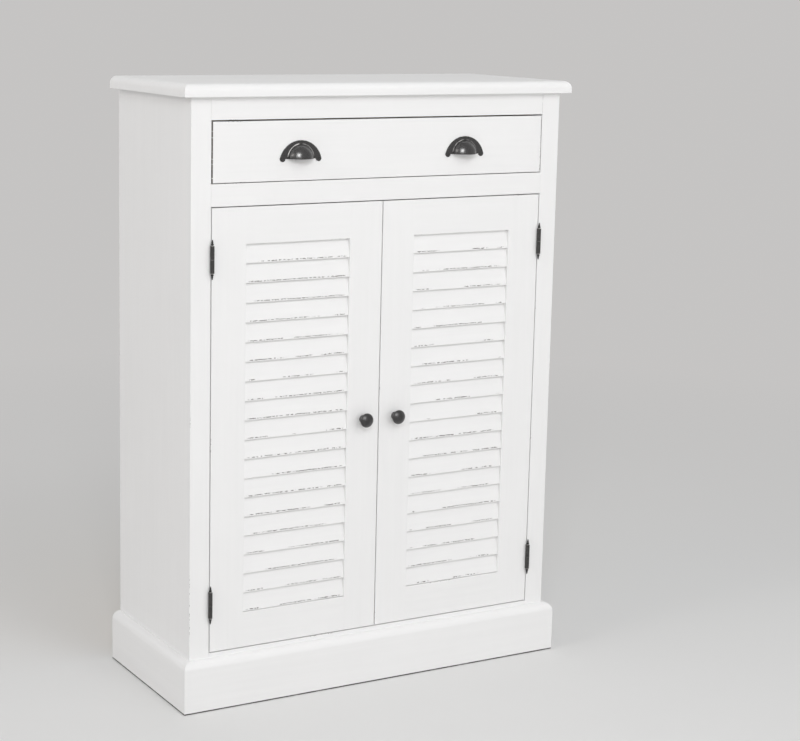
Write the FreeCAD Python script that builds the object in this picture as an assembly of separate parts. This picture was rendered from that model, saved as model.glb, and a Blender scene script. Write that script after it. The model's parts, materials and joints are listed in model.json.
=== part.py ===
import FreeCAD, Part
import math
import os

# Louvred door cabinet with one drawer. Millimetres. While it is modelled, x runs to the right,
# y to the back from the front plane of the face frame, and z up from the floor.
# keep() moves every piece so that the origin lies at the middle of the overall box, on the floor.

V = FreeCAD.Vector
RIGHT, BACK, UP = V(1, 0, 0), V(0, 1, 0), V(0, 0, 1)
tiny = 1e-6

# Case
total_height = 1200.0
case_width = 820.0
case_depth = 340.0
side_thickness = 18.0
bottom_thickness = 18.0
divider_thickness = 15.0
back_thickness = 6.0
back_lap = 9.0
housing_depth = 6.0
base_rail_thickness = 18.0
edge_ease = 0.8

# Top board
top_thickness = 24.0
top_side_overhang = 19.0
top_front_overhang = 14.0
top_square_edge = 10.0

# Plinth
plinth_height = 102.0
plinth_thickness = 18.0
plinth_flat = 2.0
plinth_reveal = 8.0

# Face frame, with doors and drawer front of the same thickness, flush with it
front_thickness = 20.0
frame_stile_width = 41.0
top_rail_height = 43.0
middle_rail_height = 42.5
bottom_rail_height = 50.0
tenon_length = 25.0
tenon_thickness = 7.0
tenon_shoulder = 8.0

# Doors
door_gap = 2.0
door_stile_width = 71.0
door_rail_height = 70.0
slat_count = 19
slat_thickness = 5.5
slat_slit = 1.1
slat_overlap = 5.0
slat_recess = 1.5
slat_housing = 5.0
slat_fit = 0.1
slat_ease = 1.2

# Butt hinges
hinge_height = 51.0
hinge_inset = 95.5
leaf_depth = 17.0
leaf_thickness = 1.6
knuckle_diameter = 8.0
knuckle_clearance = 0.3
knuckle_gap = 0.8
pin_diameter = 4.0
running_fit = 0.05
finial_height = 12.0
finial_diameter = 5.6
finial_collar_diameter = 3.6
finial_gap = 0.2
leaf_screw_margin = 8.0
leaf_screw_far = 0.7
leaf_screw_near = 0.4

# Knobs
knob_projection = 25.0
knob_diameter = 28.4
knob_rim_height = 16.5
knob_rim_thickness = 4.5
knob_rim_bow = 0.8
knob_flare_bow = 1.2
knob_neck_bow = 0.8
knob_neck_diameter = 10.0
knob_neck_height = 7.0
knob_base_diameter = 16.0
knob_base_thickness = 1.5
knob_spigot_diameter = 5.0
knob_spigot_length = 14.0

# Drawer
drawer_opening_height = 117.5
drawer_side_gap = 2.0
drawer_top_gap = 2.8
drawer_bottom_gap = 1.6
drawer_back_clearance = 14.0
drawer_side_thickness = 12.0
drawer_side_drop = 3.0
drawer_back_thickness = 12.0
drawer_bottom_thickness = 5.0
drawer_groove_depth = 5.0
drawer_groove_height = 8.0
dovetail_count = 3
dovetail_depth = 12.0
dovetail_height = 16.0
dovetail_flare = 2.0
runner_thickness = 6.0
runner_width = 24.0
guide_height = 26.0
guide_clearance = 1.0
kicker_width = 40.0
stop_width = 40.0
stop_length = 24.0
stop_spacing = 420.0
stop_clearance = 1.0

# Cup pulls
pull_width = 88.0
pull_rise = 34.6
pull_plate_thickness = 2.0
pull_ear_radius = 5.5
pull_cup_radius = 27.5
pull_cup_projection = 22.0
pull_cup_wall = 2.0
pull_rim = 1.2
pull_lip_below_middle = 15.4

# Shelves
shelf_count = 2
shelf_thickness = 18.0
shelf_setback = 12.0
shelf_side_gap = 1.0
shelf_back_gap = 4.0
pin_peg_diameter = 5.0
pin_peg_length = 19.0
pin_hole_depth = 10.0
pin_hole_spacing = 32.0
pin_edge_distance = 45.0

# Catches
catch_width = 44.0
catch_depth = 14.0
catch_above_opening = 18.0
catch_below_opening = 18.0
catch_distance = 50.0
strike_thickness = 1.5
strike_height = 14.0
catch_gap = 0.2

# Screws: head diameter, shank diameter, length
leaf_screw = (5.5, 2.8, 14.0)
pull_screw = (5.0, 2.6, 14.0)
top_screw = (8.0, 4.0, 40.0)
top_screw_bite = 16.0
top_screw_count = 3
top_screw_margin = 40.0
back_screw = (5.0, 2.6, 16.0)
back_screw_count = 5
back_screw_margin = 50.0

# Levels and planes worked out from the sizes above
top_underside = total_height - top_thickness
floor_level = plinth_height + plinth_reveal
drawer_top = top_underside - top_rail_height
drawer_bottom = drawer_top - drawer_opening_height
door_opening_top = drawer_bottom - middle_rail_height
case_x = case_width / 2
inside_x = case_x - side_thickness
opening_x = case_x - frame_stile_width
back_face = case_depth - back_thickness
divider_top = drawer_bottom - runner_thickness
divider_underside = divider_top - divider_thickness
door_bottom = floor_level + door_gap
door_top = door_opening_top - door_gap
door_outer_x = opening_x - door_gap
door_inner_x = door_gap / 2
hinge_levels = (door_bottom + hinge_inset, door_top - hinge_inset)
hinge_x = opening_x - door_gap / 2
hinge_y = -(knuckle_diameter / 2 + knuckle_clearance)
front_reach = max(knob_projection, pull_cup_projection, top_front_overhang, plinth_thickness)
middle_y = (case_depth - front_reach) / 2


def box(x0, x1, y0, y1, z0, z1):
    return Part.makeBox(x1 - x0, y1 - y0, z1 - z0, V(x0, y0, z0))


def stick(x0, x1, y0, y1, z0, z1, along, front_only=False, sharp_x=None):
    """A box whose edges parallel to one of the given directions are eased, but not those at sharp_x."""
    solid = box(x0, x1, y0, y1, z0, z1)
    edges = []
    for edge in solid.Edges:
        run = edge.Vertexes[1].Point - edge.Vertexes[0].Point
        wanted = any(abs(run.dot(direction)) > tiny for direction in along)
        sharp = sharp_x is not None and abs(edge.CenterOfMass.x - sharp_x) < tiny
        if wanted and not sharp and not (front_only and edge.CenterOfMass.y > y0 + tiny):
            edges.append(edge)
    return solid.makeFillet(edge_ease, edges)


def mirrored(shape):
    return shape.mirror(V(0, 0, 0), RIGHT)


def both_sides(shape):
    return Part.makeCompound([shape, mirrored(shape)])


def placed(shape, at, direction):
    """Stands a shape made along z at a point, pointing along a direction."""
    moved = shape.copy()
    moved.Placement = FreeCAD.Placement(at, FreeCAD.Rotation(UP, direction))
    return moved


def turned(*points):
    """A solid turned about z from (radius, height) points; a third number bows that stretch out."""
    here = V(points[0][0], 0, points[0][1])
    edges = [Part.LineSegment(V(0, 0, here.z), here).toShape()]
    for radius, height, *bow in points[1:]:
        there = V(radius, 0, height)
        if bow:
            chord = there - here
            outward = V(chord.z, 0, -chord.x).normalize()
            middle = (here + there) * 0.5 + outward * bow[0]
            edges.append(Part.Arc(here, middle, there).toShape())
        else:
            edges.append(Part.LineSegment(here, there).toShape())
        here = there
    if here.x > 0:
        edges.append(Part.LineSegment(here, V(0, 0, here.z)).toShape())
    edges.append(Part.LineSegment(V(0, 0, here.z), V(0, 0, points[0][1])).toShape())
    return Part.Face(Part.Wire(edges)).revolve(V(0, 0, 0), UP, 360)


def screw(size, at, into, fit=0.0):
    """A countersunk screw with its head flush at a point; fit makes the hole for it."""
    head, shank, length = size
    head_radius, shank_radius = head / 2 + fit, shank / 2 + fit
    point_length = shank
    shape = turned((head_radius, 0), (shank_radius, head_radius - shank_radius),
                   (shank_radius, length - point_length), (0, length + fit))
    return placed(shape, at, into)


def keep(name, shape):
    """Writes one piece, with the origin moved to the middle of the overall box."""
    moved = shape.copy()
    moved.translate(V(0, -middle_y, 0))
    moved.exportStep(f"parts/{name}.step")


def keep_pair(name, left_shape):
    keep(f"left_{name}", left_shape)
    keep(f"right_{name}", mirrored(left_shape))


def spaced(first, last, count):
    step = (last - first) / (count - 1)
    return [first + step * number for number in range(count)]


# ---- Shelves and their pins ---------------------------------------------------------------

def shelf_levels():
    """Heights of the shelves' undersides, which share the cupboard's height evenly."""
    clear = divider_underside - floor_level
    return [floor_level + clear * (number + 1) / (shelf_count + 1) - shelf_thickness / 2
            for number in range(shelf_count)]


def pin_rows():
    return (front_thickness + shelf_setback + pin_edge_distance, back_face - pin_edge_distance)


def shelf_pin(y, underside, fit=0.0):
    radius = pin_peg_diameter / 2
    start = V(-inside_x - pin_hole_depth, y, underside - radius)
    return Part.makeCylinder(radius + fit, pin_peg_length, start, RIGHT)


def pin_holes(y, underside):
    """The hole in use and the two spare ones above and below it."""
    holes = []
    for step in (-1, 0, 1):
        hole = shelf_pin(y, underside, running_fit)
        hole.translate(V(0, 0, step * pin_hole_spacing))
        holes.append(hole)
    return holes


def make_shelves():
    reach = inside_x - shelf_side_gap
    for name, underside in zip(("lower", "upper"), shelf_levels()):
        keep(f"{name}_shelf", stick(-reach, reach, front_thickness + shelf_setback,
                                    back_face - shelf_back_gap, underside,
                                    underside + shelf_thickness, (RIGHT,)))
    pins = [shelf_pin(y, underside) for y in pin_rows() for underside in shelf_levels()]
    keep("shelf_pins", both_sides(Part.makeCompound(pins)))


# ---- Case ---------------------------------------------------------------------------------

def housed_board(z0, z1):
    """A board across the case, let into both side panels."""
    reach = inside_x + housing_depth
    return box(-reach, reach, front_thickness, back_face, z0, z1)


def bottom_board():
    return housed_board(floor_level - bottom_thickness, floor_level)


def divider_board():
    return housed_board(divider_underside, divider_top)


def back_panel():
    reach = inside_x + back_lap
    return box(-reach, reach, back_face, case_depth, floor_level - bottom_thickness, top_underside)


def back_screws(fit=0.0):
    """Screws through the back panel into the rebate of the left side panel."""
    x = -inside_x - back_lap / 2
    levels = spaced(floor_level - bottom_thickness + back_screw_margin,
                    top_underside - back_screw_margin, back_screw_count)
    return [screw(back_screw, V(x, case_depth, z), -BACK, fit) for z in levels]


def side_panel():
    panel = box(-case_x, -inside_x, front_thickness, case_depth, 0, top_underside)
    cutters = [bottom_board(), divider_board(), back_panel()] + back_screws(running_fit)
    for y in pin_rows():
        for underside in shelf_levels():
            cutters += pin_holes(y, underside)
    return panel.cut(cutters)


def top_board():
    reach = case_x + top_side_overhang
    board = box(-reach, reach, -top_front_overhang, case_depth, top_underside, total_height)
    rounded = []
    for edge in board.Edges:
        middle = edge.CenterOfMass
        at_top = abs(middle.z - total_height) < tiny
        if at_top and middle.y < case_depth - tiny:
            rounded.append(edge)
    return board.makeFillet(top_thickness - top_square_edge, rounded)


def plinth_run(plan, bar):
    """A plinth board of the given bar, mitred to its plan."""
    outline = Part.makePolygon([V(x, y, 0) for x, y in plan] + [V(plan[0][0], plan[0][1], 0)])
    return bar.common(Part.Face(outline).extrude(V(0, 0, plinth_height)))


def rounded_plinth_bar(x0, x1, y0, y1, outer):
    """A bar with a quarter round on its top edge that lies at the outer side."""
    bar = box(x0, x1, y0, y1, 0, plinth_height)
    edges = [edge for edge in bar.Edges
             if abs(edge.CenterOfMass.z - plinth_height) < tiny and outer(edge.CenterOfMass)]
    return bar.makeFillet(plinth_thickness - plinth_flat, edges)


def front_plinth():
    outer_x, outer_y = case_x + plinth_thickness, -plinth_thickness
    bar = rounded_plinth_bar(-outer_x, outer_x, outer_y, 0, lambda at: abs(at.y - outer_y) < tiny)
    return plinth_run([(-outer_x, outer_y), (outer_x, outer_y), (case_x, 0), (-case_x, 0)], bar)


def side_plinth():
    outer_x, outer_y = case_x + plinth_thickness, -plinth_thickness
    bar = rounded_plinth_bar(-outer_x, -case_x, outer_y, case_depth,
                             lambda at: abs(at.x + outer_x) < tiny)
    return plinth_run([(-outer_x, outer_y), (-case_x, 0), (-case_x, case_depth),
                       (-outer_x, case_depth)], bar)


def kicker():
    return box(-inside_x, -inside_x + kicker_width, front_thickness, back_face,
               drawer_top, top_underside)


def top_screws(fit=0.0):
    """Screws up through the left kicker into the top board."""
    x = -inside_x + kicker_width / 2
    head_level = top_underside + top_screw_bite - top_screw[2]
    ys = spaced(front_thickness + top_screw_margin, back_face - top_screw_margin, top_screw_count)
    return [screw(top_screw, V(x, y, head_level), UP, fit) for y in ys]


def drilled_kicker():
    """The kicker with its screw holes, counterbored from below."""
    cutters = top_screws(running_fit)
    head_level = top_underside + top_screw_bite - top_screw[2]
    for hole in top_screws():
        foot = V(hole.CenterOfMass.x, hole.CenterOfMass.y, drawer_top)
        cutters.append(Part.makeCylinder(top_screw[0] / 2 + running_fit, head_level - drawer_top,
                                         foot, UP))
    return kicker().cut(cutters)


def make_case():
    keep_pair("side_panel", side_panel())
    keep("bottom_board", bottom_board())
    keep("divider_board", divider_board())
    holes = back_screws(running_fit)
    keep("back_panel", back_panel().cut(holes + [mirrored(hole) for hole in holes]))
    keep("back_screws", both_sides(Part.makeCompound(back_screws())))
    keep("rear_base_rail", box(-inside_x, inside_x, back_face - base_rail_thickness, back_face,
                               0, floor_level - bottom_thickness))
    holes = top_screws(running_fit)
    keep("top_board", top_board().cut(holes + [mirrored(hole) for hole in holes]))
    keep("front_plinth", front_plinth())
    keep_pair("plinth", side_plinth())
    keep_pair("drawer_kicker", drilled_kicker())
    keep("top_screws", both_sides(Part.makeCompound(top_screws())))


# ---- Face frame ---------------------------------------------------------------------------

def tenoned_rail(x0, x1, z0, z1, front_only=False):
    """A rail with a tenon at each end, between two stiles."""
    rail = stick(x0, x1, 0, front_thickness, z0, z1, (RIGHT,), front_only)
    tenon_y = (front_thickness - tenon_thickness) / 2
    tenon = box(x0 - tenon_length, x1 + tenon_length, tenon_y, tenon_y + tenon_thickness,
                z0 + tenon_shoulder, z1 - tenon_shoulder)
    return rail.fuse(tenon).removeSplitter()


def frame_rails():
    levels = {
        "top_face_rail": (drawer_top, top_underside),
        "middle_face_rail": (door_opening_top, drawer_bottom),
        "bottom_face_rail": (floor_level - bottom_rail_height, floor_level),
    }
    return {name: tenoned_rail(-opening_x, opening_x, z0, z1, front_only=True)
            for name, (z0, z1) in levels.items()}


def frame_stile():
    stile = stick(-case_x, -opening_x, 0, front_thickness, 0, top_underside, (UP,), front_only=True)
    cutters = list(frame_rails().values())
    for level in hinge_levels:
        cutters.append(leaf_plate(level, -opening_x - leaf_thickness))
        cutters += leaf_screws(level, -opening_x, -1, running_fit)
    return stile.cut(cutters)


def make_face_frame():
    keep_pair("face_stile", frame_stile())
    for name, rail in frame_rails().items():
        keep(name, rail)


# ---- Hinges -------------------------------------------------------------------------------

def leaf_plate(level, x):
    half = hinge_height / 2
    return box(x, x + leaf_thickness, 0, leaf_depth, level - half, level + half)


def leaf_screws(level, x, side, fit=0.0):
    """Three screws through a leaf whose open face is at x, staggered by shares of its depth."""
    reach = hinge_height / 2 - leaf_screw_margin
    spots = ((-reach, leaf_screw_far), (0, leaf_screw_near), (reach, leaf_screw_far))
    return [screw(leaf_screw, V(x, leaf_depth * share, level + rise), RIGHT * side, fit)
            for rise, share in spots]


def hinge_leaf(level, x, open_face, side, z0, z1):
    """A leaf with the one knuckle that it carries, between z0 and z1."""
    barrel = Part.makeCylinder(knuckle_diameter / 2, z1 - z0, V(-hinge_x, hinge_y, z0), UP)
    strap = box(x, x + leaf_thickness, hinge_y, 0, z0, z1)
    bore = Part.makeCylinder(pin_diameter / 2 + running_fit, z1 - z0, V(-hinge_x, hinge_y, z0), UP)
    leaf = leaf_plate(level, x).fuse([strap, barrel]).removeSplitter()
    return leaf.cut([bore] + leaf_screws(level, open_face, side, running_fit))


def frame_leaf(level):
    return hinge_leaf(level, -opening_x - leaf_thickness, -opening_x, -1,
                      level - hinge_height / 2, level - knuckle_gap / 2)


def door_leaf(level):
    return hinge_leaf(level, -door_outer_x, -door_outer_x, 1,
                      level + knuckle_gap / 2, level + hinge_height / 2)


def finial():
    """A small steeple: collar, ball, neck and a long taper, as shares of its height and radius."""
    full, collar = finial_diameter / 2, finial_collar_diameter / 2
    steeple = ((0.90, 0.18), (1.00, 0.26), (0.90, 0.34), (0.55, 0.44), (0.68, 0.52), (0.30, 0.96),
               (0.00, 1.00))
    return turned((collar, 0), (collar, finial_height * 0.10),
                  *[(full * across, finial_height * up) for across, up in steeple])


def hinge_pin(level):
    half = hinge_height / 2 + finial_gap
    shaft = Part.makeCylinder(pin_diameter / 2, 2 * half, V(-hinge_x, hinge_y, level - half), UP)
    upper = placed(finial(), V(-hinge_x, hinge_y, level + half), UP)
    lower = placed(finial(), V(-hinge_x, hinge_y, level - half), -UP)
    return shaft.fuse([upper, lower])


def make_hinges():
    frame_screws, pins = [], []
    for name, level in zip(("lower", "upper"), hinge_levels):
        keep(f"left_{name}_frame_leaf", frame_leaf(level))
        keep(f"right_{name}_frame_leaf", mirrored(frame_leaf(level)))
        keep(f"left_{name}_door_leaf", door_leaf(level))
        keep(f"right_{name}_door_leaf", mirrored(door_leaf(level)))
        frame_screws += leaf_screws(level, -opening_x, -1)
        pins.append(hinge_pin(level))
    keep("frame_hinge_screws", both_sides(Part.makeCompound(frame_screws)))
    keep("hinge_pins", both_sides(Part.makeCompound(pins)))


# ---- Doors --------------------------------------------------------------------------------

louvre_bottom = door_bottom + door_rail_height
louvre_top = door_top - door_rail_height
slat_pitch = (louvre_top - louvre_bottom) / slat_count
slat_lean = math.asin((slat_thickness + slat_slit) / slat_pitch)
slat_width = (slat_pitch + slat_overlap) / math.cos(slat_lean)
louvre_left = -door_outer_x + door_stile_width
louvre_right = -door_inner_x - door_stile_width


def leaning(shape, number):
    """Leans a slat shape back about its lower front edge and lifts it to its place in the stack."""
    moved = shape.copy()
    moved.rotate(V(0, 0, 0), RIGHT, -math.degrees(slat_lean))
    lift = slat_thickness * math.sin(slat_lean) + slat_fit
    moved.translate(V(0, slat_recess, louvre_bottom + lift + number * slat_pitch))
    return moved


def slat(number):
    board = box(louvre_left - slat_housing, louvre_right + slat_housing, 0, slat_thickness,
                0, slat_width)
    long_edges = [edge for edge in board.Edges if edge.Length > slat_width + slat_thickness]
    return leaning(board.makeFillet(slat_ease, long_edges), number)


def slat_housings():
    """The sloping housings that hold the slats in the stiles and under the top rail."""
    reach = slat_housing + slat_fit
    cutter = box(louvre_left - reach, louvre_right + reach, -slat_fit, slat_thickness + slat_fit,
                 -slat_fit, slat_width + slat_fit)
    return [leaning(cutter, number) for number in range(slat_count)]


def door_rails():
    return {
        "door_bottom_rail": tenoned_rail(louvre_left, louvre_right, door_bottom, louvre_bottom),
        "door_top_rail": tenoned_rail(louvre_left, louvre_right, louvre_top, door_top),
    }


def door_stile(x0, x1, inner_x):
    """A stile with eased outer edges; its inner edge stays sharp, so that the rails meet it flush."""
    stile = stick(x0, x1, 0, front_thickness, door_bottom, door_top, (UP, RIGHT), sharp_x=inner_x)
    return stile.cut(list(door_rails().values()) + slat_housings())


def hinge_stile():
    stile = door_stile(-door_outer_x, louvre_left, louvre_left)
    cutters = []
    for level in hinge_levels:
        cutters.append(leaf_plate(level, -door_outer_x))
        cutters += leaf_screws(level, -door_outer_x, 1, running_fit)
    return stile.cut(cutters)


def knob_centre():
    x = (louvre_right - door_inner_x) / 2
    return V(x, 0, (door_bottom + door_top) / 2)


def knob_hole():
    radius = knob_spigot_diameter / 2 + running_fit
    return Part.makeCylinder(radius, knob_spigot_length + running_fit, knob_centre(), BACK)


def knob():
    """A mushroom knob turned in one piece, from the end of its spigot to its crown."""
    rim, neck, base = knob_diameter / 2, knob_neck_diameter / 2, knob_base_diameter / 2
    spigot = knob_spigot_diameter / 2
    rim_back = knob_rim_height - knob_rim_thickness / 2
    rim_front = knob_rim_height + knob_rim_thickness / 2
    shoulder = rim - knob_rim_bow
    crown_bow = dish_bow(shoulder, knob_projection - rim_front)
    body = turned((spigot, -knob_spigot_length), (spigot, 0), (base, 0),
                  (base, knob_base_thickness), (neck, knob_neck_height, -knob_neck_bow),
                  (shoulder, rim_back, -knob_flare_bow), (shoulder, rim_front, knob_rim_bow),
                  (0, knob_projection, crown_bow))
    return placed(body, knob_centre(), -BACK)


def strike_plate():
    x = -catch_distance
    return box(x - catch_width / 2, x + catch_width / 2, front_thickness,
               front_thickness + strike_thickness, door_top - strike_height - edge_ease,
               door_top - edge_ease)


def door_catch():
    """A magnetic catch behind the middle rail, stepped back where it meets the strike plate."""
    x = -catch_distance
    step_back = front_thickness + strike_thickness + catch_gap
    upper = box(x - catch_width / 2, x + catch_width / 2, front_thickness, step_back + catch_depth,
                door_opening_top + edge_ease, door_opening_top + catch_above_opening)
    lower = box(x - catch_width / 2, x + catch_width / 2, step_back, step_back + catch_depth,
                door_opening_top - catch_below_opening, door_opening_top + edge_ease)
    return upper.fuse(lower).removeSplitter()


def make_doors():
    rails = door_rails()
    keep_pair("door_hinge_stile", hinge_stile())
    keep_pair("door_meeting_stile",
              door_stile(louvre_right, -door_inner_x, louvre_right).cut(knob_hole()))
    keep_pair("door_bottom_rail", rails["door_bottom_rail"])
    keep_pair("door_top_rail", rails["door_top_rail"].cut(slat_housings()))
    keep_pair("door_slats", Part.makeCompound([slat(number) for number in range(slat_count)]))
    keep_pair("door_knob", knob())
    keep_pair("door_strike_plate", strike_plate())
    screws = [one for level in hinge_levels for one in leaf_screws(level, -door_outer_x, 1)]
    keep_pair("door_hinge_screws", Part.makeCompound(screws))
    keep("door_catches", both_sides(door_catch()))


# ---- Drawer -------------------------------------------------------------------------------

front_x = opening_x - drawer_side_gap
front_bottom = drawer_bottom + drawer_bottom_gap
front_top = drawer_top - drawer_top_gap
side_top = drawer_top - drawer_side_drop
drawer_back_y = back_face - drawer_back_clearance
groove_z = drawer_bottom + drawer_groove_height
box_inside_x = front_x - drawer_side_thickness


def dovetails(x0, x1):
    """The tails on the front end of a drawer side, wider at the front."""
    room = (side_top - front_bottom) / dovetail_count
    tails = []
    for number in range(dovetail_count):
        middle = front_bottom + room * (number + 0.5)
        wide, narrow = dovetail_height / 2 + dovetail_flare, dovetail_height / 2
        y0, y1 = front_thickness - dovetail_depth, front_thickness
        outline = [V(x0, y0, middle - wide), V(x0, y1, middle - narrow),
                   V(x0, y1, middle + narrow), V(x0, y0, middle + wide)]
        face = Part.Face(Part.makePolygon(outline + outline[:1]))
        tails.append(face.extrude(V(x1 - x0, 0, 0)))
    return tails


def drawer_back():
    reach = box_inside_x + drawer_groove_depth
    return box(-reach, reach, drawer_back_y - drawer_back_thickness, drawer_back_y,
               groove_z + drawer_bottom_thickness, side_top)


def drawer_bottom_panel():
    reach = box_inside_x + drawer_groove_depth
    return box(-reach, reach, front_thickness - drawer_groove_depth, drawer_back_y,
               groove_z, groove_z + drawer_bottom_thickness)


def drawer_side():
    side = box(-front_x, -box_inside_x, front_thickness, drawer_back_y, drawer_bottom, side_top)
    side = side.fuse(dovetails(-front_x, -box_inside_x)).removeSplitter()
    return side.cut([drawer_back(), drawer_bottom_panel()])


def drawer_front():
    board = stick(-front_x, front_x, 0, front_thickness, front_bottom, front_top, (RIGHT, UP))
    cutters = dovetails(-front_x, -box_inside_x)
    cutters += [mirrored(tail) for tail in cutters]
    cutters.append(drawer_bottom_panel())
    for x in (-pull_x, pull_x):
        cutters += pull_screws(x, running_fit)
    return board.cut(cutters)


pull_x = front_x / 2
pull_lip = (front_bottom + front_top) / 2 - pull_lip_below_middle
pull_ear_x = pull_width / 2 - pull_ear_radius


def half_dome(radius, projection):
    """Half of a dish: its back on y = 0, its flat side on z = 0, rising to the front."""
    dish = turned((radius, 0), (0, projection, dish_bow(radius, projection)))
    dish = placed(dish, V(0, 0, 0), -BACK)
    return dish.common(box(-radius, radius, -projection, 0, 0, radius))


def dish_bow(radius, projection):
    """How far the dish's arc bows from its chord so that it leaves the middle squarely."""
    half_chord = math.hypot(radius, projection) / 2
    arc_radius = (radius ** 2 + projection ** 2) / (2 * projection)
    return arc_radius - math.sqrt(arc_radius ** 2 - half_chord ** 2)


def pull_plate():
    """The flat back plate: the segment of a circle, ending in two round ears."""
    half = pull_width / 2
    arch = Part.Arc(V(-half, 0, 0), V(0, 0, pull_rise), V(half, 0, 0)).toShape()
    base = Part.LineSegment(V(half, 0, 0), V(-half, 0, 0)).toShape()
    plate = Part.Face(Part.Wire([arch, base])).extrude(-BACK * pull_plate_thickness)
    ears = [Part.makeCylinder(pull_ear_radius, pull_plate_thickness, V(x, 0, 0), -BACK)
            for x in (-pull_ear_x, pull_ear_x)]
    return plate.fuse(ears)


def cup_pull(x):
    rim = half_dome(pull_cup_radius + pull_rim, pull_plate_thickness + pull_rim)
    cup = half_dome(pull_cup_radius, pull_cup_projection)
    hollow = half_dome(pull_cup_radius - pull_cup_wall, pull_cup_projection - pull_cup_wall)
    pull = pull_plate().fuse([rim, cup]).cut(hollow).removeSplitter()
    pull.translate(V(x, 0, pull_lip))
    return pull.cut(pull_screws(x, running_fit))


def pull_screws(x, fit=0.0):
    """Three screws: one in the plate over the cup and one in each ear."""
    rise = (pull_rise + pull_cup_radius + pull_rim) / 2
    spots = ((0, rise), (-pull_ear_x, 0), (pull_ear_x, 0))
    return [screw(pull_screw, V(x + across, -pull_plate_thickness, pull_lip + up), BACK, fit)
            for across, up in spots]


def make_drawer():
    keep("drawer_front", drawer_front())
    keep_pair("drawer_side", drawer_side())
    keep("drawer_back", drawer_back())
    keep("drawer_bottom", drawer_bottom_panel())
    keep("left_cup_pull", cup_pull(-pull_x))
    keep("right_cup_pull", cup_pull(pull_x))
    keep("cup_pull_screws", Part.makeCompound(pull_screws(-pull_x) + pull_screws(pull_x)))


def drawer_runner():
    """A strip under the drawer side with a guide beside it, in one piece."""
    guide_x = -front_x - guide_clearance
    runner = box(guide_x, guide_x + runner_width, front_thickness, back_face,
                 divider_top, drawer_bottom)
    guide = box(-inside_x, guide_x, front_thickness, back_face, divider_top,
                divider_top + guide_height)
    return runner.fuse(guide).removeSplitter()


def drawer_stop():
    return box(-stop_spacing / 2 - stop_width / 2, -stop_spacing / 2 + stop_width / 2,
               front_thickness, front_thickness + stop_length, divider_top,
               groove_z - stop_clearance)


def make_drawer_guides():
    keep_pair("drawer_runner", drawer_runner())
    keep("drawer_stops", both_sides(drawer_stop()))


os.makedirs("parts", exist_ok=True)
make_case()
make_face_frame()
make_shelves()
make_hinges()
make_doors()
make_drawer()
make_drawer_guides()
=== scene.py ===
import json
import math

import bmesh
import bpy
from mathutils import Matrix, Vector

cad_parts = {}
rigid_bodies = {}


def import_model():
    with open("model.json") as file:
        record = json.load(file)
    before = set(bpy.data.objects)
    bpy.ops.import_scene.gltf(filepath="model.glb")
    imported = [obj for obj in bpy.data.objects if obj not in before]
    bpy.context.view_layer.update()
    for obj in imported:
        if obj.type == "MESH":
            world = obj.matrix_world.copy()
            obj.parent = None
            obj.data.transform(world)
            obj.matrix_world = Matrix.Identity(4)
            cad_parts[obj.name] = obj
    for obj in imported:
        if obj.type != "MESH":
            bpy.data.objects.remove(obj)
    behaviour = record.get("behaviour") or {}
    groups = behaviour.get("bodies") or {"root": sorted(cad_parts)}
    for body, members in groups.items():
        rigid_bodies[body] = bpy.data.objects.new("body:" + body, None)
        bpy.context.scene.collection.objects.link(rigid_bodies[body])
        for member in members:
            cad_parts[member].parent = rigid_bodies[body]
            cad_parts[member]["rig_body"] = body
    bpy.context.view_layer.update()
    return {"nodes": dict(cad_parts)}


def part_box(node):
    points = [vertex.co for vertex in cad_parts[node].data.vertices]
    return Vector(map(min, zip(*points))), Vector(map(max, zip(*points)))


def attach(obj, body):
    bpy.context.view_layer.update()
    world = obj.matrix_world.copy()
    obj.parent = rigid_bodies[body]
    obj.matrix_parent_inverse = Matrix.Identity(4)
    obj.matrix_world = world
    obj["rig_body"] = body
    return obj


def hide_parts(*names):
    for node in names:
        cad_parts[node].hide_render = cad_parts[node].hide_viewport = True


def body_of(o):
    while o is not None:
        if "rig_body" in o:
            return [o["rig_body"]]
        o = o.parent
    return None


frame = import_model()

# Places on the cabinet that its finishes refer to, in metres
FRONT_FACE = -0.1575
LOUVRE_FOOT, LOUVRE_HEAD, SLATS = 0.182, 0.901, 19
SLAT_STEP = (LOUVRE_HEAD - LOUVRE_FOOT) / SLATS
SLAT_EDGE = LOUVRE_FOOT + 0.0011
LOUVRE_INNER, LOUVRE_OUTER = 0.085, 0.283
RUB_FOOT, RUB_HEAD, RUB_WANDER, RUB_RAGGED = 0.0023, 0.0033, 0.0005, 0.0007
DRAWER_END = (0.3656, 0.3662)
CORNER_START, CORNER_END = FRONT_FACE + 0.0050, FRONT_FACE + 0.0035
PULL_MIDDLE, PULL_LIP, PULL_RIM, RIM_WIDTH = 0.1835, 1.05825, 0.0287, 0.0011
LOWER_HINGE, UPPER_HINGE, KNUCKLE_END, COLLAR = 0.2075, 0.8755, 0.0255, 0.0012
PLINTH_FOOT, PLINTH_PLANED = 0.0026, 0.0012
RAIL_JOINT = 0.369
MIDLINE = 0.01  # half the width over which a finish changes from the left half to the right

# The range that a noise mostly keeps to, and the middle of it
SPREAD, CORE = (0.3, 0.7), (0.35, 0.65)

# How closely the growth bands of pine and of ply follow each other
PINE_BANDS, PLY_BANDS = 95.0, 70.0

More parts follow.
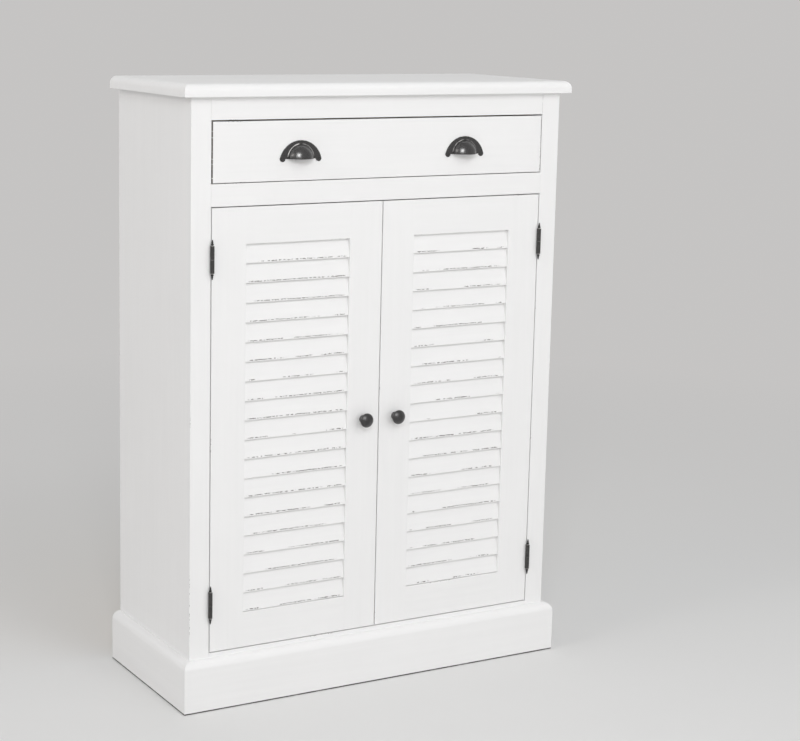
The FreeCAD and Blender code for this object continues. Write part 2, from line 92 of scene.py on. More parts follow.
# Colours, linear
PAINT_LOW, PAINT_HIGH = (0.868, 0.868, 0.868, 1), (0.888, 0.888, 0.888, 1)
# The colour beneath chipped paint and paint gone with rubbing, also used as painted shade in the
# gaps beside the drawer.
WORN_AND_SHADE, WORN_AND_SHADE_PALE = (0.120, 0.114, 0.107, 1), (0.210, 0.200, 0.187, 1)
# Painted shadow: the dark line where the plinth meets the floor.
CONTACT_SHADOW, CONTACT_SHADOW_PALE = (0.050, 0.048, 0.045, 1), (0.100, 0.096, 0.090, 1)
BLACK_LOW, BLACK_HIGH = (0.008, 0.0073, 0.0078, 1), (0.015, 0.0138, 0.0145, 1)
# The first colour on the next line is a painted highlight: the pale glint of light along the rims
# of the cups.
RIM_GLINT, BARE_STEEL = (0.90, 0.88, 0.86, 1), (0.52, 0.50, 0.48, 1)
STEEL_LOW, STEEL_HIGH = (0.034, 0.033, 0.033, 1), (0.056, 0.054, 0.052, 1)
ZINC_LOW, ZINC_HIGH = (0.56, 0.57, 0.58, 1), (0.72, 0.72, 0.71, 1)
PLASTIC_LOW, PLASTIC_HIGH = (0.78, 0.77, 0.74, 1), (0.83, 0.82, 0.79, 1)
PINE_PALE, PINE_WARM = (0.80, 0.62, 0.40, 1), (0.72, 0.52, 0.31, 1)
PINE_RING, PINE_RESIN = (0.56, 0.35, 0.17, 1), (0.42, 0.25, 0.12, 1)
PINE_FIBRE = (0.88, 0.72, 0.50, 1)
PLY_PALE, PLY_DARK = (0.76, 0.62, 0.44, 1), (0.70, 0.555, 0.38, 1)
PLY_PORE = (0.44, 0.31, 0.19, 1)
PALE_FLOOR, FLOOR_BOUNCE = (0.785, 0.785, 0.781, 1), (0.67, 0.66, 0.65, 1)
BACKDROP = (0.562, 0.553, 0.547, 1)
WHITE, BLACK = (1, 1, 1, 1), (0, 0, 0, 1)

# Modelling: distances under which two points or two levels are one, and angles between faces
# under which they are one plane, an edge is left as it is, and shading stays smooth
SAME_POINT, SAME_LEVEL = 1e-6, 1e-5
SAME_PLANE, SHARP_EDGE, CREASE = math.radians(0.2), math.radians(30), math.radians(38)

# Screw heads: the cross as shares of the head's radius, and the turn from one screw to the next
CROSS_LENGTH, CROSS_WIDTH, CROSS_DEPTH = 1.15, 0.26, 0.9
SCREW_TURN = 0.7

# The room: its level overhead and at the horizon, and where the floor fades to the backdrop
ROOM_OVERHEAD, ROOM_HORIZON = 0.42, 0.87
FLOOR_SIZE, FADE_START, FADE_END = 60, 1.1, 3.4
WARM_DAY = (1, 0.955, 0.92)

# The camera: place, yaw, pitch and roll in degrees, lens in millimetres, and shift
CAMERA_PLACE, CAMERA_TURN = (-1.860, -3.2975, 1.359), (29.10, -10.01, 0.96)
LENS, SENSOR, SHIFT_X, SHIFT_Y = 84.87, 36.0, 0.0868, -0.0506


# ---- Materials: the tools -------------------------------------------------------------------

class Wiring:
    """The nodes of a material or of the room, emptied and being joined anew."""

    def __init__(self, owner):
        owner.use_nodes = True
        self.tree = owner.node_tree
        self.tree.nodes.clear()

    def add(self, kind, settings=None, **inputs):
        """Adds a node and feeds its inputs; settings are its own switches."""
        node = self.tree.nodes.new("ShaderNode" + kind)
        for name, value in (settings or {}).items():
            setattr(node, name, value)
        for name, value in inputs.items():
            self.put(node, name, value)
        return node

    def put(self, node, name, value):
        """Feeds one input, named, or numbered as i0, i1 and so on."""
        numbered = name[0] == "i" and name[1:].isdigit()
        socket = node.inputs[int(name[1:]) if numbered else name.replace("_", " ")]
        if isinstance(value, bpy.types.NodeSocket):
            self.tree.links.new(value, socket)
        else:
            socket.default_value = value


class Finish(Wiring):
    """A material being built, with short ways to make its patterns."""

    def __init__(self, name):
        self.material = bpy.data.materials.new(name)
        super().__init__(self.material)
        self.shader = self.add("BsdfPrincipled")
        self.add("OutputMaterial", Surface=self.shader.outputs[0])
        self.spot = self.add("TexCoord").outputs
        self.place = self.spot["Object"]

    def scaled(self, x, y, z):
        """Object coordinates times a number on each axis."""
        return self.add("Mapping", Vector=self.place, Scale=(x, y, z)).outputs[0]

    def stretched(self, across, along, grain):
        """Object coordinates scaled so that a pattern runs along one axis."""
        scale = [across] * 3
        scale["xyz".index(grain)] = along
        return self.scaled(*scale)

    def noise(self, vector, scale=1.0, detail=2.0, roughness=0.55, distortion=0.0):
        """A cloudy pattern from 0 to 1."""
        return self.add("TexNoise", Vector=vector, Scale=scale, Detail=detail,
                        Roughness=roughness, Distortion=distortion).outputs["Fac"]

    def math(self, operation, *values):
        """Works out one operation on one or two numbers."""
        node = self.add("Math", {"operation": operation})
        for number, value in enumerate(values):
            self.put(node, f"i{number}", value)
        return node.outputs[0]

    def both(self, *shares):
        """The product of several masks."""
        total = shares[0]
        for share in shares[1:]:
            total = self.math("MULTIPLY", total, share)
        return total

    def span(self, value, low, high, start=0.0, end=1.0):
        """Maps low..high of a value to start..end, and holds it there."""
        return self.add("MapRange", Value=value, From_Min=low, From_Max=high,
                        To_Min=start, To_Max=end).outputs[0]

    def band(self, value, low, high, soft):
        """A mask that is 1 between two values and fades outside them."""
        return self.both(self.span(value, low - soft, low), self.span(value, high + soft, high))

    def blend(self, share, first, second):
        """Goes from one colour to another."""
        node = self.add("Mix", {"data_type": "RGBA"})
        self.put(node, "i0", share)
        self.put(node, "i6", first)
        self.put(node, "i7", second)
        return node.outputs[2]

    def mix(self, share, first, second):
        """Goes from one number to another."""
        node = self.add("Mix")
        self.put(node, "i0", share)
        self.put(node, "i2", first)
        self.put(node, "i3", second)
        return node.outputs[0]

    def axes(self, vector=None):
        """The x, y and z of a vector, or of the object coordinates."""
        return self.add("SeparateXYZ", Vector=vector or self.place).outputs

    def raised(self, height, depth, strength, before=None):
        """Relief from a height, over any relief that came before."""
        inputs = {"Height": height, "Distance": depth, "Strength": strength}
        if before is not None:
            inputs["Normal"] = before
        return self.add("Bump", **inputs).outputs[0]

    def surface(self, **inputs):
        """Feeds the shader and hands over the finished material."""
        for name, value in inputs.items():
            self.put(self.shader, name, value)
        return self.material


# ---- Paint ----------------------------------------------------------------------------------

def brushed_paint(finish, grain):
    """White satin paint laid on along the grain: its colour, roughness and relief."""
    strokes = finish.noise(finish.stretched(420, 7, grain), detail=3.0, roughness=0.6)
    grain_lines = finish.noise(finish.stretched(95, 3.2, grain), detail=5.0, roughness=0.62,
                               distortion=0.4)
    cloud = finish.noise(finish.place, scale=5.5, detail=3.0)
    tone = finish.mix(0.4, grain_lines, cloud)
    colour = finish.blend(finish.span(tone, 0.38, 0.62), PAINT_LOW, PAINT_HIGH)
    roughness = finish.span(strokes, *SPREAD, 0.46, 0.56)
    relief = finish.raised(grain_lines, depth=0.00025, strength=0.5)
    return colour, roughness, finish.raised(strokes, depth=0.00008, strength=0.6, before=relief)


def edge_of(finish):
    """A mask of the eased edges: it grows where the surface turns away from all three axes."""
    turned = finish.add("VectorMath", {"operation": "ABSOLUTE"}, i0=finish.spot["Normal"])
    x, y, z = finish.axes(turned.outputs[0])
    straight = finish.math("MAXIMUM", x, finish.math("MAXIMUM", y, z))
    return finish.span(straight, 0.97, 0.90)


def chipped_edges(finish, amount):
    """Small broken runs along the edges where the paint has gone; amount is 0 to 1."""
    runs = finish.noise(finish.place, scale=11.0)
    chips = finish.noise(finish.place, scale=260.0, detail=3.0, roughness=0.6)
    start = 0.72 - 0.2 * amount
    return finish.both(edge_of(finish), finish.span(runs, start, start + 0.04),
                       finish.span(chips, 0.54, 0.58))


def slat_rubs(finish):
    """Rubbed dashes on the front, just over each slat's lower edge, fewer on the right door."""
    x, _, z = finish.axes()
    over_edge = finish.math("FLOORED_MODULO", finish.math("SUBTRACT", z, SLAT_EDGE), SLAT_STEP)
    slow, quick = finish.noise(finish.scaled(60, 0, 26)), finish.noise(finish.place, scale=650.0)
    wander = finish.span(slow, *SPREAD, -RUB_WANDER, RUB_WANDER)
    ragged = finish.span(quick, *SPREAD, -RUB_RAGGED, RUB_RAGGED)
    line = finish.band(finish.math("ADD", over_edge, finish.math("ADD", wander, ragged)),
                       RUB_FOOT, RUB_HEAD, soft=0.0006)
    broken = finish.noise(finish.scaled(200, 0, 130), detail=3.0, roughness=0.6)
    dashes = finish.span(broken, 0.455, 0.505)
    on_right = finish.span(x, -MIDLINE, MIDLINE, 0.0, 0.045)
    thinned = finish.math("SUBTRACT", finish.noise(finish.scaled(11, 0, 26)), on_right)
    patches = finish.span(thinned, 0.42, 0.46)
    from_middle = finish.math("ABSOLUTE", x)
    clear_of_stiles = finish.band(from_middle, LOUVRE_INNER, LOUVRE_OUTER, soft=0.008)
    in_front = finish.span(finish.axes(finish.spot["Normal"])[1], -0.1, -0.3)
    return finish.both(line, dashes, patches, clear_of_stiles, in_front)


def drawer_gap_shade(finish):
    """Painted shade on the drawer front's ends near the front, most on the left, so that the gaps
    beside the drawer read dark.
    """
    x, y, _ = finish.axes()
    end = finish.span(finish.math("ABSOLUTE", x), *DRAWER_END)
    flecks = finish.noise(finish.scaled(0, 0, 330), detail=3.0, roughness=0.6)
    # Painted shade: the end faces close to the front take the darker colour, on more of the left
    # end than the right.
    wear_and_shade = finish.math("GREATER_THAN", flecks, finish.span(x, -MIDLINE, MIDLINE, 0.40, 0.55))
    near_front = finish.span(y, CORNER_START, CORNER_END)
    return finish.both(end, wear_and_shade, near_front)


def foot_contact_shade(finish):
    """Painted shadow along the foot of the plinth, where it meets the floor: its planed edge and
    the lowest few millimetres, darkened a little unevenly.
    """
    unevenness = finish.noise(finish.scaled(60, 60, 0), detail=3.0, roughness=0.6)
    near_floor = finish.span(finish.axes()[2], PLINTH_FOOT + 0.0003, PLINTH_FOOT - 0.0001)
    return finish.both(near_floor, finish.span(unevenness, 0.25, 0.5, start=0.75))


def joint_crack(finish):
    """The paint has cracked where the top rail meets the right stile."""
    crack = finish.span(finish.axes()[0], RAIL_JOINT - 0.0005, RAIL_JOINT - 0.0003)
    breaks = finish.noise(finish.scaled(0, 0, 160), detail=3.0, roughness=0.6)
    return finish.both(crack, finish.span(breaks, 0.40, 0.52))


def painted(name, grain, chips=0.0, rubs_and_shade=None, under=(WORN_AND_SHADE, WORN_AND_SHADE_PALE)):
    """Brushed paint, chipped along its edges, and darker where the given marks say: the colour
    beneath the paint for rubbing and cracks, and a painted shade for the marks that stand for
    shade.
    """
    finish = Finish(f"paint_{name}")
    colour, roughness, relief = brushed_paint(finish, grain)
    wear_and_shade = chipped_edges(finish, chips) if chips else 0.0
    if rubs_and_shade:
        wear_and_shade = finish.math("MAXIMUM", wear_and_shade, rubs_and_shade(finish))
    speckle = finish.noise(finish.place, scale=900.0)
    # The darker colour is the colour beneath the paint for chips, rubbing and cracks, and a painted
    # shade for the drawer's gaps and the plinth's foot.
    worn_and_shade_colour = finish.blend(finish.span(speckle, *CORE), *under)
    left_on = finish.math("SUBTRACT", 1.0, wear_and_shade)
    return finish.surface(Base_Color=finish.blend(wear_and_shade, colour, worn_and_shade_colour),
                          Roughness=finish.mix(wear_and_shade, roughness, 0.8),
                          Normal=finish.raised(left_on, depth=0.0002, strength=0.8,
                                               before=relief),
                          Specular_IOR_Level=0.35)


# ---- Wood, metal and plastic ----------------------------------------------------------------

def pine(grain):
    """Planed pine: growth rings cut lengthwise, fine fibres and a few resin streaks."""
    finish = Finish(f"pine_along_{grain}")
    rings = finish.noise(finish.stretched(17, 0.9, grain), roughness=0.5, distortion=0.3)
    waves = finish.math("SINE", finish.math("MULTIPLY", rings, PINE_BANDS))
    late = finish.span(waves, -0.2, 1.0)
    fibres = finish.noise(finish.stretched(900, 18, grain), detail=3.0, roughness=0.65)
    warmth = finish.noise(finish.stretched(6, 1.5, grain))
    pale = finish.blend(finish.span(warmth, *CORE), PINE_PALE, PINE_WARM)
    banded = finish.blend(finish.math("MULTIPLY", late, 0.55), pale, PINE_RING)
    streaks = finish.span(finish.noise(finish.stretched(150, 9, grain)), 0.64, 0.72)
    streaked = finish.blend(finish.math("MULTIPLY", streaks, 0.35), banded, PINE_RESIN)
    colour = finish.blend(finish.span(fibres, *SPREAD, 0.0, 0.22), streaked, PINE_FIBRE)
    relief = finish.raised(fibres, depth=0.0001, strength=0.7)
    return finish.surface(Base_Color=colour, Roughness=finish.span(fibres, *SPREAD, 0.50, 0.64),
                          Normal=finish.raised(late, depth=0.00006, strength=0.5, before=relief))


def plywood(grain):
    """Thin birch ply: a fine pale figure that runs with the grain, and short pores."""
    finish = Finish(f"birch_ply_along_{grain}")
    figure = finish.noise(finish.stretched(14, 1.2, grain), detail=3.0, roughness=0.5,
                          distortion=0.3)
    waves = finish.math("SINE", finish.math("MULTIPLY", figure, PLY_BANDS))
    pores = finish.noise(finish.stretched(620, 32, grain), detail=3.0, roughness=0.6)
    face = finish.blend(finish.span(waves, -1.0, 1.0), PLY_PALE, PLY_DARK)
    colour = finish.blend(finish.span(pores, 0.58, 0.68, end=0.45), face, PLY_PORE)
    return finish.surface(Base_Color=colour, Roughness=finish.span(pores, *SPREAD, 0.55, 0.68),
                          Normal=finish.raised(pores, depth=0.00008, strength=0.6))


def black_iron(name, coat_roughness, coat_ior):
    """Cast iron under black lacquer, with a painted highlight along the rim of each cup, most on
    its left.

    The rim lies where the pulls are, so a knob with this finish stays black all over."""
    finish = Finish(name)
    casting = finish.noise(finish.place, scale=240.0, detail=4.0, roughness=0.6)
    grit = finish.noise(finish.place, scale=1500.0)
    x, _, z = finish.axes()
    nearer_pull = finish.math("MULTIPLY", finish.math("SIGN", x), PULL_MIDDLE)
    across = finish.math("SUBTRACT", x, nearer_pull)
    up = finish.math("SUBTRACT", z, PULL_LIP)
    from_lip = finish.math("SQRT", finish.math("ADD", finish.math("POWER", across, 2.0),
                                               finish.math("POWER", up, 2.0)))
    rim = finish.band(from_lip, PULL_RIM - RIM_WIDTH, PULL_RIM, soft=0.0003)
    patchy = finish.span(finish.noise(finish.place, scale=130.0, detail=3.0), 0.34, 0.50)
    left_brighter = finish.span(across, -0.002, 0.004, 1.0, 0.3)
    on_right = finish.span(x, -MIDLINE, MIDLINE, 1.0, 0.5)
    off_crown = finish.span(finish.math("ABSOLUTE", across), 0.002, 0.007)
    over_lip = finish.span(up, 0.003, 0.009)
    # Painted highlight: a pale band along each cup's rim stands in for light glinting there,
    # brightest on the left side of each cup, weaker on the right pull, and left off the crown and
    # the lip.
    rim_glint = finish.both(rim, patchy, left_brighter, on_right, off_crown, over_lip)
    body = finish.blend(finish.span(casting, *CORE), BLACK_LOW, BLACK_HIGH)
    relief = finish.raised(casting, depth=0.0003, strength=0.25)
    return finish.surface(Base_Color=finish.blend(rim_glint, body, RIM_GLINT),
                          Roughness=finish.span(casting, *SPREAD, 0.36, 0.44),
                          Normal=finish.raised(grit, depth=0.00004, strength=0.4, before=relief),
                          Specular_IOR_Level=0.2,
                          Coat_Weight=1.0, Coat_Roughness=coat_roughness, Coat_IOR=coat_ior)


def rolling_marks(finish):
    """Relief of fine marks that run along the height."""
    marks = finish.noise(finish.scaled(1800, 1800, 120))
    return finish.raised(marks, depth=0.00004, strength=0.5)


def metal(name, dark, light, roughness, metallic, grain=210.0):
    """Small hardware: a mottled metal; roughness gives its lowest and highest."""
    finish = Finish(name)
    mottle = finish.noise(finish.place, scale=grain, detail=4.0, roughness=0.6)
    return finish.surface(Base_Color=finish.blend(finish.span(mottle, *CORE), dark, light),
                          Metallic=metallic, Normal=rolling_marks(finish),
                          Roughness=finish.span(mottle, *SPREAD, *roughness))


def hinge_pin_steel():
    """Blackened pins, gone bright with use at the collars and where the knuckles part."""
    finish = Finish("pin_steel")
    mottle = finish.noise(finish.place, scale=300.0, detail=4.0, roughness=0.6)
    z = finish.axes()[2]
    lower, upper = (finish.math("ABSOLUTE", finish.math("SUBTRACT", z, level))
                    for level in (LOWER_HINGE, UPPER_HINGE))
    along = finish.math("MINIMUM", lower, upper)
    collar = finish.band(along, KNUCKLE_END, KNUCKLE_END + COLLAR, soft=0.0004)
    parting = finish.span(along, 0.0012, 0.0008)
    bright = finish.math("MAXIMUM", collar, parting)
    black = finish.blend(finish.span(mottle, *CORE), BLACK_LOW, BLACK_HIGH)
    return finish.surface(Base_Color=finish.blend(bright, black, BARE_STEEL),
                          Metallic=finish.mix(bright, 0.2, 1.0), Normal=rolling_marks(finish),
                          Roughness=finish.span(mottle, *SPREAD, 0.30, 0.42))


def moulded_plastic():
    """Off-white plastic with a fine moulded grain."""
    finish = Finish("moulded_plastic")
    grain = finish.noise(finish.place, scale=1300.0)
    cloud = finish.noise(finish.place, scale=60.0)
    return finish.surface(Base_Color=finish.blend(cloud, PLASTIC_LOW, PLASTIC_HIGH),
                          Roughness=finish.span(grain, *SPREAD, 0.38, 0.48),
                          Normal=finish.raised(grain, depth=0.00006, strength=0.5))


# Finishes of a slot, by the axis that the board's grain follows where it has one
CHIPPED_PAINTS = {grain: painted(f"chipped_along_{grain}", grain, chips=0.5) for grain in "xz"}
BOARDS = {
    "white_paint": {grain: painted(f"along_{grain}", grain) for grain in "xz"},
    "bare_pine": {grain: pine(grain) for grain in "xy"},
    "panel_board": {grain: plywood(grain) for grain in "xz"},
}
OTHERS = {
    "dark_iron": black_iron("black_iron", coat_roughness=0.24, coat_ior=1.76),
    "dark_steel": metal("black_steel", STEEL_LOW, STEEL_HIGH, (0.31, 0.43), metallic=0.2),
    "zinc": metal("zinc_plate", ZINC_LOW, ZINC_HIGH, (0.25, 0.37), metallic=1.0, grain=420.0),
    "catch_plastic": moulded_plastic(),
}

# Finishes of single pieces; the right one of a pair takes the left one's
# The pair below is painted shadow, for the foot of the plinth.
CONTACT_SHADOWS = (CONTACT_SHADOW, CONTACT_SHADOW_PALE)
SPECIAL = {
    "left_door_slats": painted("slats", "x", chips=0.2, rubs_and_shade=slat_rubs),
    # The drawer front's ends carry painted shade for the gaps beside the drawer.
    "drawer_front": painted("drawer_front", "x", chips=0.6, rubs_and_shade=drawer_gap_shade),
    "top_face_rail": painted("top_rail", "x", chips=0.5, rubs_and_shade=joint_crack),
    # The plinths' feet are darkened with painted shadow where they meet the floor.
    "front_plinth": painted("front_plinth", "x", rubs_and_shade=foot_contact_shade, under=CONTACT_SHADOWS),
    "left_plinth": painted("side_plinth", "y", rubs_and_shade=foot_contact_shade, under=CONTACT_SHADOWS),
    "left_door_knob": black_iron("knob_iron", coat_roughness=0.42, coat_ior=1.6),
    "hinge_pins": hinge_pin_steel(),
}


def grain_of(node):
    """The axis along which a board is longest."""
    low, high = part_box(node)
    sides = [high[axis] - low[axis] for axis in range(3)]
    return "xyz"[sides.index(max(sides))]


def finish_of(node, slot):
    """The material for a node, from the name of its slot in the record."""
    special = SPECIAL.get(node.replace("right_", "left_"))
    if special:
        return special
    if slot == "white_paint" and node.endswith(("stile", "rail")):
        return CHIPPED_PAINTS[grain_of(node)]
    return BOARDS[slot][grain_of(node)] if slot in BOARDS else OTHERS[slot]


def slot_name(material_slot):
    """The record's name for a slot, without the number that Blender may add."""
    return material_slot.material.name.split(".")[0]


# ---- Modelling: the tools -------------------------------------------------------------------

def only(piece):
    """Selects one object and makes it the active one."""
    bpy.ops.object.select_all(action="DESELECT")
    piece.select_set(True)
    bpy.context.view_layer.objects.active = piece


def apply(piece, kind, **settings):
    """Adds a modifier and applies it."""
    only(piece)
    modifier = piece.modifiers.new(kind.lower(), kind)
    for name, value in settings.items():
        setattr(modifier, name, value)
    bpy.ops.object.modifier_apply(modifier=modifier.name)


def eased(piece, width, steps=2):
    """Rounds the sharp edges of a piece and shades its flats evenly."""
    apply(piece, "BEVEL", width=width, segments=steps, limit_method="ANGLE",
          angle_limit=SHARP_EDGE)
    smooth(piece)


def smooth(piece):
    """Shades the rounds smoothly and keeps the flats flat."""
    only(piece)
    bpy.ops.object.shade_smooth_by_angle(angle=CREASE)
    apply(piece, "WEIGHTED_NORMAL", keep_sharp=True)


def taken_over(node):
    """A piece that stands for a packed one: the same mesh, with its triangles joined to faces."""
    source = frame["nodes"][node]
    slot = slot_name(source.material_slots[0])
    piece = bpy.data.objects.new(f"{node}_finished", source.data.copy())
    bpy.context.scene.collection.objects.link(piece)
    only(piece)
    bpy.ops.mesh.customdata_custom_splitnormals_clear()
    bpy.ops.object.mode_set(mode="EDIT")
    bpy.ops.mesh.select_all(action="SELECT")
    bpy.ops.mesh.remove_doubles(threshold=SAME_POINT)
    bpy.ops.mesh.dissolve_limited(angle_limit=SAME_PLANE)
    bpy.ops.object.mode_set(mode="OBJECT")
    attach(piece, body_of(source)[0])
    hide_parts(node)
    piece.material_slots[0].material = finish_of(node, slot)
    return piece


def plane_foot(piece, width, steps):
    """Bevels the sharp edges of a piece that lie on the floor."""
    only(piece)
    bpy.ops.object.mode_set(mode="EDIT")
    bpy.ops.mesh.select_mode(type="EDGE")
    bpy.ops.mesh.select_all(action="DESELECT")
    mesh = bmesh.from_edit_mesh(piece.data)
    for edge in mesh.edges:
        on_floor = all(end.co.z < SAME_LEVEL for end in edge.verts)
        edge.select_set(on_floor and edge.calc_face_angle(0) > SHARP_EDGE)
    bmesh.update_edit_mesh(piece.data)
    bpy.ops.mesh.bevel(offset=width, segments=steps, affect="EDGES")
    bpy.ops.object.mode_set(mode="OBJECT")
    smooth(piece)


# ---- Pieces ---------------------------------------------------------------------------------

def dress_frame():
    """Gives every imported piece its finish."""
    for name, node in frame["nodes"].items():
        for slot in node.material_slots:
            slot.material = finish_of(name, slot_name(slot))


def ease_boards():
    """Takes the machine sharpness off the boards that the case and the drawer are made of."""
    widths = {0.0003: ("back_panel", "drawer_bottom"),
              0.0008: ("top_board", "lower_shelf", "upper_shelf", "rear_base_rail", "drawer_back",
                       "left_drawer_side", "right_drawer_side"),
              0.0005: ("bottom_board", "divider_board", "left_drawer_runner", "right_drawer_runner",
                       "left_drawer_kicker", "right_drawer_kicker", "drawer_stops",
                       "left_side_panel", "right_side_panel")}
    for width, nodes in widths.items():
        for node in nodes:
            eased(taken_over(node), width)


def ease_plinth():
    """The plinth's foot is planed off a little, so that it stands on a fine shadow line."""
    for node in ("front_plinth", "left_plinth", "right_plinth"):
        plane_foot(taken_over(node), width=PLINTH_PLANED, steps=2)


def finish_hardware():
    """Rounds the edges of the pulls, hinge leaves, strike plates, knobs, catches and pegs."""
    for node in ("left_cup_pull", "right_cup_pull"):
        eased(taken_over(node), width=0.0005, steps=3)
    for side in ("left", "right"):
        for level in ("upper", "lower"):
            for leaf in ("frame_leaf", "door_leaf"):
                eased(taken_over(f"{side}_{level}_{leaf}"), width=0.00025)
        eased(taken_over(f"{side}_door_strike_plate"), width=0.0003)
        eased(taken_over(f"{side}_door_knob"), width=0.0003)
    eased(taken_over("door_catches"), width=0.0007)
    eased(taken_over("shelf_pins"), width=0.0004)


def loose_parts(mesh):
    """The points of each separate solid in a mesh."""
    left = set(mesh.verts)
    while left:
        part, rim = set(), [left.pop()]
        while rim:
            vertex = rim.pop()
            part.add(vertex)
            fresh = {edge.other_vert(vertex) for edge in vertex.link_edges} & left
            left -= fresh
            rim += fresh
        yield [vertex.co for vertex in part]


def screw_seat(points):
    """Where a screw has its head, which way it points, and its head's radius."""
    ends = [(min(at[axis] for at in points), max(at[axis] for at in points)) for axis in range(3)]
    sizes = [high - low for low, high in ends]
    length = max(sizes)
    axis = sizes.index(length)
    middle = Vector([(low + high) / 2 for low, high in ends])
    far_end = [at for at in points if at[axis] > ends[axis][1] - SAME_LEVEL]
    head_high = any((at - middle).length > length / 2 + SAME_LEVEL for at in far_end)
    into = Vector([0, 0, 0])
    into[axis] = -1 if head_high else 1
    return middle - into * length / 2, into, min(sizes) / 2


def screw_seats(node):
    """The seats of a node's screws, in order of their place."""
    mesh = bmesh.new()
    mesh.from_mesh(frame["nodes"][node].data)
    bmesh.ops.remove_doubles(mesh, verts=mesh.verts, dist=SAME_POINT)
    seats = [screw_seat(points) for points in loose_parts(mesh)]
    mesh.free()
    return sorted(seats, key=lambda seat: tuple(seat[0]))


def cross_recess(screws, seats):
    """Sinks a cross into each screw head, one arm after the other."""
    for arm in (0, 1):
        bars = []
        for number, (head, into, radius) in enumerate(seats):
            turn = Matrix.Rotation(number * SCREW_TURN + arm * math.pi / 2, 3, "Z")
            facing = into.to_track_quat("Z", "Y") @ turn.to_quaternion()
            size = (radius * CROSS_LENGTH, radius * CROSS_WIDTH, radius * CROSS_DEPTH)
            bpy.ops.mesh.primitive_cube_add(size=1, location=head, rotation=facing.to_euler(),
                                            scale=size, calc_uvs=False)
            bars.append(bpy.context.object)
        only(bars[0])
        for bar in bars:
            bar.select_set(True)
        bpy.ops.object.join()
        cutter = bpy.context.object
        apply(screws, "BOOLEAN", object=cutter, operation="DIFFERENCE", solver="EXACT")
        bpy.data.objects.remove(cutter)


def finish_screws():
    """Gives every screw head its cross and takes the sharpness off it."""
    for node in ("back_screws", "cup_pull_screws", "frame_hinge_screws", "left_door_hinge_screws",
                 "right_door_hinge_screws", "top_screws"):
        seats = screw_seats(node)
        screws = taken_over(node)
        cross_recess(screws, seats)
        eased(screws, width=0.00012, steps=1)


# ---- Floor, light and camera ----------------------------------------------------------------

def lay_floor():
    """A pale floor that keeps the cabinet's shadow and fades to the backdrop around it."""
    bpy.ops.mesh.primitive_plane_add(size=FLOOR_SIZE, location=(0, 0, 0))
    floor = bpy.context.object
    floor.name = "floor"
    finish = Finish("floor_pale")
    away = finish.add("VectorMath", {"operation": "LENGTH"}, i0=finish.place).outputs["Value"]
    far = finish.span(away, FADE_START, FADE_END)
    path = finish.add("LightPath").outputs
    mirrored = finish.math("MAXIMUM", path["Is Glossy Ray"], path["Is Transmission Ray"])
    seen = finish.math("MAXIMUM", path["Is Camera Ray"], mirrored)
    shown = finish.blend(far, PALE_FLOOR, BLACK)
    floor.data.materials.append(finish.surface(
        Base_Color=finish.blend(seen, FLOOR_BOUNCE, shown), Roughness=0.9,
        Emission_Color=BACKDROP, Emission_Strength=finish.math("MULTIPLY", seen, far),
        Specular_IOR_Level=0.0))


def light_world():
    """A room, brightest low down, and a plain backdrop where the camera or a gloss sees it."""
    world = bpy.data.worlds.new("studio")
    nodes = Wiring(world)
    upward = nodes.add("TexCoord").outputs["Generated"]
    height = nodes.add("SeparateXYZ", Vector=upward).outputs["Z"]
    level = nodes.add("MapRange", Value=height, To_Min=ROOM_HORIZON,
                      To_Max=ROOM_OVERHEAD).outputs[0]
    path = nodes.add("LightPath").outputs
    light = nodes.add("Background", Color=WHITE, Strength=level).outputs[0]
    backdrop = nodes.add("Background", Color=BACKDROP, Strength=1.0).outputs[0]
    for ray in ("Is Camera Ray", "Is Glossy Ray", "Is Transmission Ray"):
        light = nodes.add("MixShader", i0=path[ray], i1=light, i2=backdrop).outputs[0]
    nodes.add("OutputWorld", Surface=light)
    bpy.context.scene.world = world


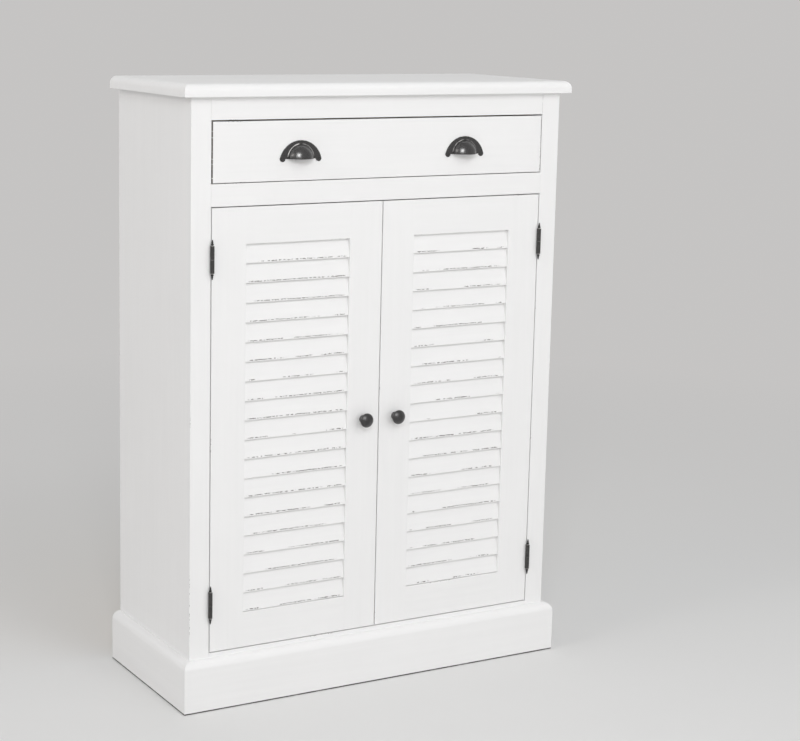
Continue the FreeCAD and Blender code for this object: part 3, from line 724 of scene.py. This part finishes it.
def hang_lamp(name, place, size, power, aim=0.7, colour=WHITE[:3], in_gloss=True,
              in_diffuse=True):
    """A flat lamp that faces the cabinet's middle line at the height given by aim."""
    lamp = bpy.data.lights.new(name, "AREA")
    lamp.shape = "RECTANGLE"
    lamp.size, lamp.size_y = size
    lamp.energy = power
    lamp.color = colour
    holder = bpy.data.objects.new(name, lamp)
    bpy.context.scene.collection.objects.link(holder)
    holder.visible_glossy = in_gloss
    holder.visible_diffuse = in_diffuse
    facing = (Vector(place) - Vector((0, 0, aim))).to_track_quat("Z", "Y")
    holder.matrix_world = Matrix.Translation(place) @ facing.to_matrix().to_4x4()


def hang_lamps():
    """Two lamps hidden from gloss, one for gloss alone, and two for both."""
    hang_lamp("near_light", (-1.89, -3.41, 2.95), size=(0.85, 0.85), power=36)
    hang_lamp("front_light", (0.3, -3.2, 3.9), size=(0.8, 0.8), power=17, in_gloss=False)
    hang_lamp("wide_light", (1.7, -3.8, 1.9), size=(4.4, 2.6), power=33, aim=0.8,
              in_gloss=False)
    hang_lamp("left_light", (-4.3, -0.6, 3.0), size=(1.4, 1.4), power=26.5, colour=WARM_DAY)
    hang_lamp("gleam_light", (-1.94, -3.50, 3.05), size=(2.3, 2.3), power=85, in_diffuse=False)


def set_camera():
    """Places the camera, turned by yaw, then pitch, then roll."""
    yaw, pitch, roll = (math.radians(angle) for angle in CAMERA_TURN)
    ahead = Vector((math.sin(yaw) * math.cos(pitch), math.cos(yaw) * math.cos(pitch),
                    math.sin(pitch)))
    level = Vector((math.cos(yaw), -math.sin(yaw), 0))
    upright = level.cross(ahead)
    right = math.cos(roll) * level + math.sin(roll) * upright
    up = math.cos(roll) * upright - math.sin(roll) * level
    lens = bpy.data.cameras.new("camera")
    lens.sensor_width = SENSOR
    lens.lens = LENS
    lens.shift_x, lens.shift_y = SHIFT_X, SHIFT_Y
    lens.clip_end = 100
    camera = bpy.data.objects.new("camera", lens)
    bpy.context.scene.collection.objects.link(camera)
    turn = Matrix((right, up, -ahead)).transposed().to_4x4()
    camera.matrix_world = Matrix.Translation(CAMERA_PLACE) @ turn
    bpy.context.scene.camera = camera


bpy.ops.object.select_all(action="DESELECT")
ease_boards()
ease_plinth()
finish_hardware()
finish_screws()
dress_frame()
lay_floor()
light_world()
hang_lamps()
set_camera()
bpy.context.scene.view_settings.view_transform = "Standard"
